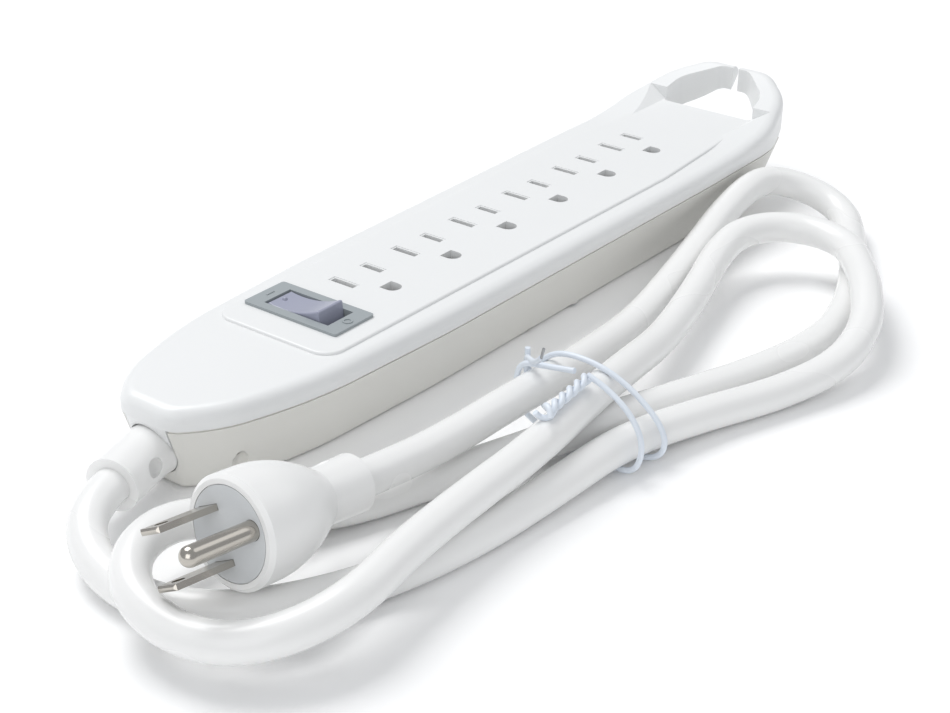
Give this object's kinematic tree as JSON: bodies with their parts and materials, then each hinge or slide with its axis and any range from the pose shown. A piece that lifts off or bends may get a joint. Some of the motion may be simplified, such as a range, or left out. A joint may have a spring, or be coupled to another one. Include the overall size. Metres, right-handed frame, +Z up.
{
  "type": "power strip",
  "caption": "White power strip with a row of grounded outlets, a grey rocker breaker switch, a hook-shaped end with a hanging opening, and a tied supply cord with a grounded plug.",
  "frame": {"origin": "middle of the strip's flat underside, with the cord, its boot, plug and tie left out", "axes": "X along the strip from the cord end to the hook end, Y across it with the blade slots on the +Y side, Z up"},
  "size_m": [0.3477, 0.1448, 0.0376],
  "materials": {
    "cover_plastic": "white ABS, satin-gloss moulding",
    "shell_plastic": "off-white ABS, fine matt texture",
    "bezel_plastic": "grey ABS",
    "rocker_plastic": "lilac-grey PC, satin gloss",
    "housing_plastic": "dark PBT insulating moulding",
    "plunger_plastic": "natural acetal",
    "spring_steel": "drawn spring steel",
    "contact_brass": "stamped brass",
    "bimetal_strip": "rolled bimetal strip",
    "black_insulation": "PVC insulation, black",
    "white_insulation": "PVC insulation, white",
    "green_insulation": "PVC insulation, green",
    "cord_pvc": "soft white PVC, glossy",
    "screw_steel": "zinc-plated steel",
    "insert_plastic": "light grey nylon",
    "blade_metal": "nickel-plated brass",
    "tie_coating": "white plastic-coated steel wire"
  },
  "bodies": {
    "strip": {"top_cover": "cover_plastic", "bottom_shell": "shell_plastic", "switch_bezel": "bezel_plastic", "switch_housing": "housing_plastic", "middle_terminal": "contact_brass", "live_terminal": "contact_brass", "breaker_bimetal": "bimetal_strip", "line_bus": "contact_brass", "neutral_bus": "contact_brass", "ground_bus": "contact_brass", "insulator_tray": "housing_plastic", "line_feed_wire": "black_insulation", "line_load_wire": "black_insulation", "neutral_wire": "white_insulation", "ground_wire": "green_insulation", "cord_jacket_end": "cord_pvc", "case_screws": "screw_steel", "cord_boot": "cord_pvc", "power_cord": "cord_pvc", "plug_body": "cord_pvc", "plug_face_insert": "insert_plastic", "plug_line_blade": "blade_metal", "plug_neutral_blade": "blade_metal", "plug_ground_pin": "blade_metal", "twist_tie": "tie_coating"},
    "rocker": {"switch_rocker": "rocker_plastic", "switch_plunger": "plunger_plastic", "switch_spring": "spring_steel"},
    "lever": {"contact_lever": "contact_brass"}
  },
  "joints": [
    {"name": "rocker_hinge", "type": "hinge", "parent": "strip", "child": "rocker", "pos_m": [-0.085, 0.0018, 0.0194], "axis": [1, 0, 0], "range_deg": [0, 18]},
    {"name": "lever_hinge", "type": "hinge", "parent": "strip", "child": "lever", "pos_m": [-0.085, 0.0018, 0.0104], "axis": [1, 0, 0], "range_deg": [-9, 0]}
  ],
  "couplings": [
    {"joint": "lever_hinge", "follows": "rocker_hinge", "ratio": -0.5}
  ]
}
